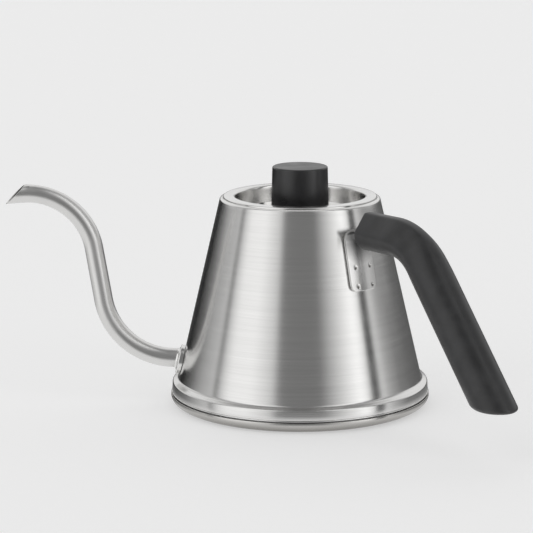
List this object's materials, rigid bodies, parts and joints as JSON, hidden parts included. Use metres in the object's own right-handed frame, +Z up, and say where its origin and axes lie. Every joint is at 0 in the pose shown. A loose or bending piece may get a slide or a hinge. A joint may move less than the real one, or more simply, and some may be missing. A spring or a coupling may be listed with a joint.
{
  "type": "gooseneck kettle",
  "caption": "Stovetop gooseneck kettle: steel cone body, recessed lift-off lid with round knob, slim S-curved spout and a slanting open-ended handle.",
  "frame": {"origin": "centre of the flat underside, on the axis of the cone", "axes": "+Z up along the cone's axis, -X out along the spout; the handle stands in the plane 39 degrees from -Y towards +X"},
  "size_m": [0.2644, 0.1998, 0.1287],
  "materials": {
    "brushed_steel": "satin, fine grain running round the cone",
    "polished_steel": "polished steel",
    "hardware_steel": "machined steel",
    "aluminium_core": "plain",
    "brass_insert": "machined brass",
    "black_plastic": "satin moulded"
  },
  "bodies": {
    "kettle": {"base_cap": "polished_steel", "heat_spreader": "aluminium_core", "vessel_floor": "polished_steel", "body_shell": "brushed_steel", "top_collar": "polished_steel", "spout_tube": "brushed_steel", "spout_flange": "polished_steel", "handle_bracket": "polished_steel", "handle_grip": "black_plastic", "handle_end_cap": "black_plastic", "handle_insert_front": "brass_insert", "handle_insert_rear": "brass_insert", "handle_screw_front": "hardware_steel", "handle_screw_rear": "hardware_steel"},
    "lid": {"lid_plate": "polished_steel", "lid_skirt": "polished_steel", "knob": "black_plastic", "knob_insert": "brass_insert", "knob_screw": "hardware_steel", "knob_washer": "hardware_steel"}
  },
  "joints": [
    {"name": "lid_lift", "type": "slide", "parent": "kettle", "child": "lid", "axis": [0, 0, 1], "range_m": [0, 0.12]}
  ]
}
